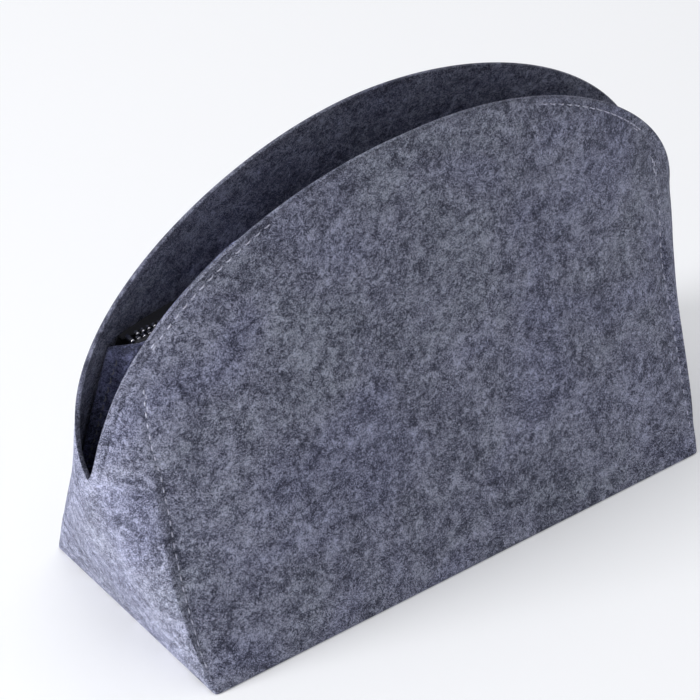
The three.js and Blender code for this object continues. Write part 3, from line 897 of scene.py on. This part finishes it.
def pull_tab_piece(metal):
    """The pull tab as a filled outline with rounded edges, a window for the arch and a slot for a cord."""
    half = TAB_THICKNESS / 2
    soft = 0.32
    curve = bpy.data.curves.new("pull_tab_outline", "CURVE")
    curve.dimensions = "2D"
    curve.fill_mode = "BOTH"
    curve.extrude = (half - soft) * MM
    curve.bevel_depth = soft * MM
    curve.bevel_resolution = 3
    # square-cornered at the arch, half round at the tip
    root = plate_outline(-half, TAB_LENGTH, TAB_ROOT, TAB_WIDTH, half, soft, 10)
    tip = plate_outline(-half, TAB_LENGTH, TAB_ROOT, TAB_WIDTH, TAB_TIP_ROUND, soft, 10)
    n = len(tip) // 4
    slot_end = TAB_LENGTH - TAB_TIP_TO_SLOT
    shapes = [
        np.concatenate([tip[:n], root[n:3 * n], tip[3 * n:]]),
        plate_outline(half, half + TAB_WINDOW, TAB_WINDOW_WIDTH, TAB_WINDOW_WIDTH, 0.75, -soft, 8),
        plate_outline(
            slot_end - TAB_SLOT, slot_end, TAB_SLOT_WIDTH, TAB_SLOT_WIDTH, TAB_SLOT_WIDTH / 2, -soft, 10,
        ),
    ]
    for outline_points in shapes:
        spline = curve.splines.new("POLY")
        spline.points.add(len(outline_points) - 1)
        for point, (x, y) in zip(spline.points, outline_points):
            point.co = (x * MM, y * MM, 0, 1)
        spline.use_cyclic_u = True
    holder = bpy.data.objects.new("pull_tab_outline", curve)
    bpy.context.scene.collection.objects.link(holder)
    bpy.context.view_layer.update()
    mesh = bpy.data.meshes.new_from_object(holder.evaluated_get(bpy.context.evaluated_depsgraph_get()))
    bpy.data.objects.remove(holder)
    bpy.data.curves.remove(curve)
    mesh.transform(Matrix.Translation(Vector((SLIDER_X, ZIP_Y, ZIP_HEIGHT + PIVOT_HEIGHT)) * MM))
    work = bmesh.new()
    work.from_mesh(mesh)
    bmesh.ops.remove_doubles(work, verts=work.verts, dist=0.00001)
    bmesh.ops.recalc_face_normals(work, faces=work.faces)
    work.to_mesh(mesh)
    work.free()
    mesh.name = "pull_tab_metal"
    mesh.materials.clear()
    obj = add_piece("pull_tab_metal", mesh, metal, "pull_tab")
    mesh.set_sharp_from_angle(angle=math.radians(35))
    return obj


# Materials


def feed(node, sources):
    """Links outputs to a node's inputs, or sets the inputs to values."""
    for key, source in sources.items():
        if isinstance(source, bpy.types.NodeSocket):
            node.id_data.links.new(source, node.inputs[key])
        else:
            node.inputs[key].default_value = source


def new_material(name):
    material = bpy.data.materials.new(name)
    material.use_nodes = True
    nodes = material.node_tree.nodes
    nodes.clear()
    out = nodes.new("ShaderNodeOutputMaterial")
    shader = nodes.new("ShaderNodeBsdfPrincipled")
    feed(out, {"Surface": shader.outputs["BSDF"]})
    coords = nodes.new("ShaderNodeTexCoord").outputs["Object"]
    return material, nodes, shader, coords


def noise(nodes, coords, scale, detail=2.0, rough=0.5, warp=0.0, offset=(0, 0, 0), stretch=(1, 1, 1)):
    mapping = nodes.new("ShaderNodeMapping")
    feed(mapping, {"Location": offset, "Scale": stretch, "Vector": coords})
    node = nodes.new("ShaderNodeTexNoise")
    feed(node, {
        "Scale": scale, "Detail": detail, "Roughness": rough, "Distortion": warp,
        "Vector": mapping.outputs["Vector"],
    })
    return node.outputs["Fac"]


def maths(nodes, operation, *sources):
    node = nodes.new("ShaderNodeMath")
    node.operation = operation
    feed(node, dict(enumerate(sources)))
    return node.outputs["Value"]


def sum_of(nodes, terms, start=0.0):
    """start plus each output times its factor."""
    total = start
    for output, factor in terms:
        total = maths(nodes, "MULTIPLY_ADD", output, factor, total)
    return total


def multiplied(nodes, colour, by, amount):
    """A colour multiplied by another, as far as amount says."""
    node = nodes.new("ShaderNodeMix")
    node.data_type = "RGBA"
    node.blend_type = "MULTIPLY"
    feed(node, {0: amount, 6: colour, 7: by})
    return node.outputs[2]


def ramp(nodes, value, stops, light=(1, 1, 1)):
    """Colours along a value, each multiplied by light."""
    node = nodes.new("ShaderNodeValToRGB")
    elements = node.color_ramp.elements
    while len(elements) < len(stops):
        elements.new(0.5)
    for element, (at, colour) in zip(elements, stops):
        element.position = at
        element.color = (*(c * k for c, k in zip(colour, light)), 1)
    feed(node, {"Fac": value})
    return node.outputs["Color"]


def bump(nodes, height, distance, strength):
    node = nodes.new("ShaderNodeBump")
    feed(node, {"Distance": distance, "Strength": strength, "Height": height})
    return node.outputs["Normal"]


def felt_material(name, light):
    """Dark navy and pale lavender fibres, pressed together at random."""
    material, nodes, shader, coords = new_material(name)
    contrast = 2.1
    clouds = noise(nodes, coords, 34, 2.0, 0.55, 0.3, (0.3, 0.1, 0.2))
    patches = noise(nodes, coords, 150, 2.0, 0.55, 0.8, (0.1, 0.5, 0.7))
    mottle = noise(nodes, coords, 490, 2.0, 0.6, 1.6, (0.9, 0.2, 0.4))
    swirl_a = noise(nodes, coords, 840, 2.5, 0.55, 4.5, (0.2, 0.8, 0.1), (1.0, 0.62, 1.25))
    swirl_b = noise(nodes, coords, 1300, 2.0, 0.5, 5.5, (0.6, 0.3, 0.9), (0.7, 1.2, 0.9))
    grain = noise(nodes, coords, 2900, 1.0, 0.5, 0.6)
    terms = [(clouds, 0.25), (patches, 0.54), (mottle, 0.86), (swirl_a, 1.1), (swirl_b, 1.15), (grain, 0.7)]
    # each noise averages a half, so this start centres their sum
    start = 0.5 - contrast * sum(factor for _output, factor in terms) / 2
    value = sum_of(nodes, [(output, contrast * factor) for output, factor in terms], start)
    fibres = ramp(nodes, value, [
        (0.20, (0.022, 0.024, 0.046)), (0.40, (0.088, 0.095, 0.148)), (0.54, (0.195, 0.206, 0.295)),
        (0.70, (0.385, 0.40, 0.535)), (0.88, (0.66, 0.68, 0.83)),
    ], light)
    drift = noise(nodes, coords, 17, 2.5, 0.6, 0.6, (0.7, 0.9, 0.3))
    tint = ramp(nodes, drift, [
        (0.35, (0.97, 0.975, 1.04)), (0.5, (1.0, 1.0, 1.0)), (0.65, (1.0, 1.02, 0.975)),
    ])
    # painted shade on the rim's cut edge: the felt's colour there is multiplied towards 0.45
    painted_edge_shade = nodes.new("ShaderNodeAttribute")
    painted_edge_shade.attribute_name = "painted_edge_shade"
    tinted = multiplied(nodes, fibres, tint, 1.0)
    height = sum_of(nodes, [
        (patches, 0.25), (mottle, 0.5), (swirl_a, 0.7), (swirl_b, 0.6), (grain, 0.5),
    ])
    feed(shader, {
        "Base Color": multiplied(nodes, tinted, (0.45, 0.45, 0.46, 1), painted_edge_shade.outputs["Fac"]),
        "Roughness": 0.96,
        "Specular IOR Level": 0.12,
        "Sheen Weight": 0.25,
        "Sheen Roughness": 0.6,
        "Sheen Tint": (0.78, 0.80, 0.95, 1),
        "Normal": bump(nodes, height, 0.00045, 0.85),
    })
    return material


def thread_material(name, light):
    material, nodes, shader, coords = new_material(name)
    tone = noise(nodes, coords, 900)
    stops = [(0.3, (0.52, 0.53, 0.66)), (0.7, (0.84, 0.85, 0.98))]
    feed(shader, {
        "Base Color": ramp(nodes, tone, stops, (light, light, light)),
        "Roughness": 0.62,
        "Sheen Weight": 0.3,
        "Normal": bump(nodes, noise(nodes, coords, 7000, 1.0), 0.00005, 0.6),
    })
    return material


def tape_material():
    """Black woven tape with fine ribs along it."""
    material, nodes, shader, coords = new_material("woven_tape")
    tone = noise(nodes, coords, 1600)
    ribs = []
    for direction, scale in (("Z", 480), ("Y", 480), ("X", 620)):
        wave = nodes.new("ShaderNodeTexWave")
        wave.wave_type = "BANDS"
        wave.bands_direction = direction
        feed(wave, {"Scale": scale, "Distortion": 0.25, "Vector": coords})
        ribs.append((wave.outputs["Fac"], 0.4))
    feed(shader, {
        "Base Color": ramp(nodes, tone, [(0.3, (0.008, 0.008, 0.012)), (0.75, (0.030, 0.030, 0.040))]),
        "Roughness": 0.8,
        "Sheen Weight": 0.25,
        "Normal": bump(nodes, sum_of(nodes, ribs), 0.00012, 0.8),
    })
    return material


def metal_material():
    """Bright nickel, a little worn."""
    material, nodes, shader, coords = new_material("bright_nickel")
    wear = noise(nodes, coords, 500, 3.0, 0.6, 0.5)
    scratches = noise(nodes, coords, 2200, 2.0, 0.6, 0.2, (0, 0, 0), (0.15, 1, 1))
    feed(shader, {
        "Base Color": ramp(nodes, wear, [(0.3, (0.66, 0.66, 0.69)), (0.65, (0.90, 0.90, 0.92))]),
        "Metallic": 1.0,
        "Roughness": sum_of(nodes, [(wear, 0.12), (scratches, 0.14)], 0.10),
        "Normal": bump(nodes, scratches, 0.00002, 0.4),
    })
    return material


# The scene

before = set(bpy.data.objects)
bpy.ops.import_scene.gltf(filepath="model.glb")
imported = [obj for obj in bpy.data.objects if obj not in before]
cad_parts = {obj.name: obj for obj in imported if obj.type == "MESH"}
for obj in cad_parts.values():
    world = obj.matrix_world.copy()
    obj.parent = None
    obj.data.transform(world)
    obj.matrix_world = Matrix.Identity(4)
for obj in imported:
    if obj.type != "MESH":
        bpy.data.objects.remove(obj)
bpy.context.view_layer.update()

felt = felt_material("melange_felt", (0.885, 0.885, 0.905))
# the pockets' felt is the same felt made darker and bluer: painted shade, as the pockets lie inside the body
pocket_felt_painted_shade = felt_material("melange_felt_painted_shade", (0.56, 0.58, 0.79))
thread = thread_material("stitching_thread", 1.0)
# the pockets' thread is the same thread at 0.42 of its brightness: painted shade inside the body
pocket_thread_painted_shade = thread_material("stitching_thread_painted_shade", 0.42)
tape = tape_material()
metal = metal_material()

# walls
front_wall, front_lines = wall_piece(-1, "front_felt", felt)
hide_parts("front_panel")
back_wall, back_lines = wall_piece(1, "back_felt", felt)
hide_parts("back_panel")
front_stitches = wall_stitches("front_stitches", -1, front_lines, thread)
back_stitches = wall_stitches("back_stitches", 1, back_lines, thread)

# open pocket, sewn down its sides
shares = both_sides(np.concatenate([np.arange(0, 0.9, 0.02), np.arange(0.9, 0.9999, 0.007), [1.0]]))
z_line = np.linspace(12, OPEN_POCKET_HEIGHT - 3, 110)
side_share = 1 - OPEN_POCKET_SEAM_IN / (fold_x(z_line) * reach(z_line))
pocket_lines = [open_pocket_face(side * side_share, z_line, FELT) for side in (-1, 1)]
open_pocket = pocket_piece(
    "open_pocket_felt", open_pocket_face, shares,
    np.full(len(shares), 0.15), np.full(len(shares), OPEN_POCKET_HEIGHT), pocket_felt_painted_shade, pocket_lines, 92,
)
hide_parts("front_pocket_panel")
open_pocket_stitches = inner_stitches("open_pocket_stitches", pocket_lines, -1, pocket_thread_painted_shade)

# zip pocket, sewn round its edge
pocket_top = ZIP_HEIGHT + TAPE_THICKNESS / 2 + ZIP_POCKET_LIP
shares = both_sides(np.concatenate([
    np.arange(0, 0.9, 0.02), np.arange(0.9, TAPE_LAST_SHARE - 0.001, 0.01), [TAPE_LAST_SHARE],
    np.linspace(TAPE_LAST_SHARE + 0.005, 1, 9),
]))
top_seam, low_seam = pocket_top - ZIP_POCKET_SEAM_DROP, ZIP_POCKET_BOTTOM + ZIP_POCKET_SEAM_IN
top_line = zip_pocket_face(np.linspace(-0.955, 0.955, 200), np.full(200, top_seam), FELT)
low_line = zip_pocket_face(np.linspace(-0.97, 0.97, 200), np.full(200, low_seam), FELT)
z_line = np.linspace(ZIP_POCKET_BOTTOM + 4, pocket_top - ZIP_POCKET_CORNER_DROP - 2.0, 80)
side_share = 1 - ZIP_POCKET_SEAM_IN / fold_x(z_line)
side_lines = [zip_pocket_face(side * side_share, z_line, FELT) for side in (-1, 1)]
pocket_lines = [top_line, low_line, *side_lines]
zip_pocket = pocket_piece(
    "zip_pocket_felt", zip_pocket_face, shares,
    np.full(len(shares), ZIP_POCKET_BOTTOM), pocket_top - ZIP_POCKET_CORNER_DROP * past_zip(shares),
    pocket_felt_painted_shade, pocket_lines, 72,
)
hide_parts("zip_pocket_panel")
zip_pocket_stitches = inner_stitches("zip_pocket_stitches", pocket_lines, 1, pocket_thread_painted_shade)

# base
base = base_piece(felt)
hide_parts("base_panel")

# zip
front_tape = tape_piece("front_tape", -1, tape)
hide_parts("zip_tape_front")
back_tape = tape_piece("back_tape", 1, tape)
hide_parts("zip_tape_back")
front_teeth = tooth_rows("front_teeth", -1, metal)
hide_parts("zip_teeth_front")
back_teeth = tooth_rows("back_teeth", 1, metal)
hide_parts("zip_teeth_back")
for node in ("zip_top_stop_front", "zip_top_stop_back", "zip_bottom_stop"):
    low, high = (np.array(corner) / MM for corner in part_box(node))
    piece = rounded_box(node + "_metal", low, high, 0.7, metal, "body")
    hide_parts(node)
slider = slider_piece(metal)
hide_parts("zip_slider")
pull_tab = pull_tab_piece(metal)
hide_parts("zip_pull_tab")

# Floor, light and camera


def stage_plane(name, size, location, colour, glow):
    """A plane that glows a little to the camera and in reflections, but lights the object no more."""
    mesh = bpy.data.meshes.new(name)
    h = size / 2
    mesh.from_pydata([(-h, -h, 0), (h, -h, 0), (h, h, 0), (-h, h, 0)], [], [(0, 1, 2, 3)])
    material = bpy.data.materials.new(name)
    material.use_nodes = True
    nodes = material.node_tree.nodes
    rays = nodes.new("ShaderNodeLightPath").outputs
    seen = rays["Is Camera Ray"]
    for kind in ("Is Glossy Ray", "Is Transmission Ray"):
        seen = maths(nodes, "MAXIMUM", seen, rays[kind])
    feed(nodes["Principled BSDF"], {
        "Base Color": (*colour, 1),
        "Roughness": 0.8,
        "Specular IOR Level": 0.2,
        "Emission Color": (1, 1, 1, 1),
        "Emission Strength": maths(nodes, "MULTIPLY", seen, glow),
    })
    mesh.materials.append(material)
    obj = bpy.data.objects.new(name, mesh)
    obj.location = location
    bpy.context.scene.collection.objects.link(obj)


def aim(obj, place, target):
    obj.location = place
    obj.rotation_euler = (Vector(target) - Vector(place)).to_track_quat("-Z", "Y").to_euler()
    bpy.context.scene.collection.objects.link(obj)


def area_light(name, place, target, size, power, colour):
    light = bpy.data.lights.new(name, "AREA")
    light.shape = "SQUARE"
    light.size = size
    light.energy = power
    light.color = colour
    aim(bpy.data.objects.new(name, light), place, target)


stage_plane("floor", size=12.0, location=(0, 0, -0.0002), colour=(0.86, 0.86, 0.87), glow=0.15)
area_light(
    "key", place=(-2.55, 0.5, 0.95), target=(0, 0, 0.08), size=1.1, power=KEY_POWER, colour=(0.97, 0.98, 1.0),
)
area_light(
    "top", place=(0.3, 0.2, 2.8), target=(0, 0, 0.1), size=2.6, power=TOP_POWER, colour=(0.98, 0.99, 1.0),
)

world = bpy.data.worlds.new("studio")
world.use_nodes = True
feed(world.node_tree.nodes["Background"], {"Color": (0.93, 0.95, 1.0, 1), "Strength": WORLD_STRENGTH})
bpy.context.scene.world = world

camera_data = bpy.data.cameras.new("camera")
camera_data.sensor_width = 36.0
camera_data.lens = VIEW_LENS
camera_data.clip_end = 50.0
camera = bpy.data.objects.new("camera", camera_data)
aim(camera, VIEW_FROM, VIEW_TO)
bpy.context.scene.camera = camera
bpy.context.scene.view_settings.view_transform = "Standard"
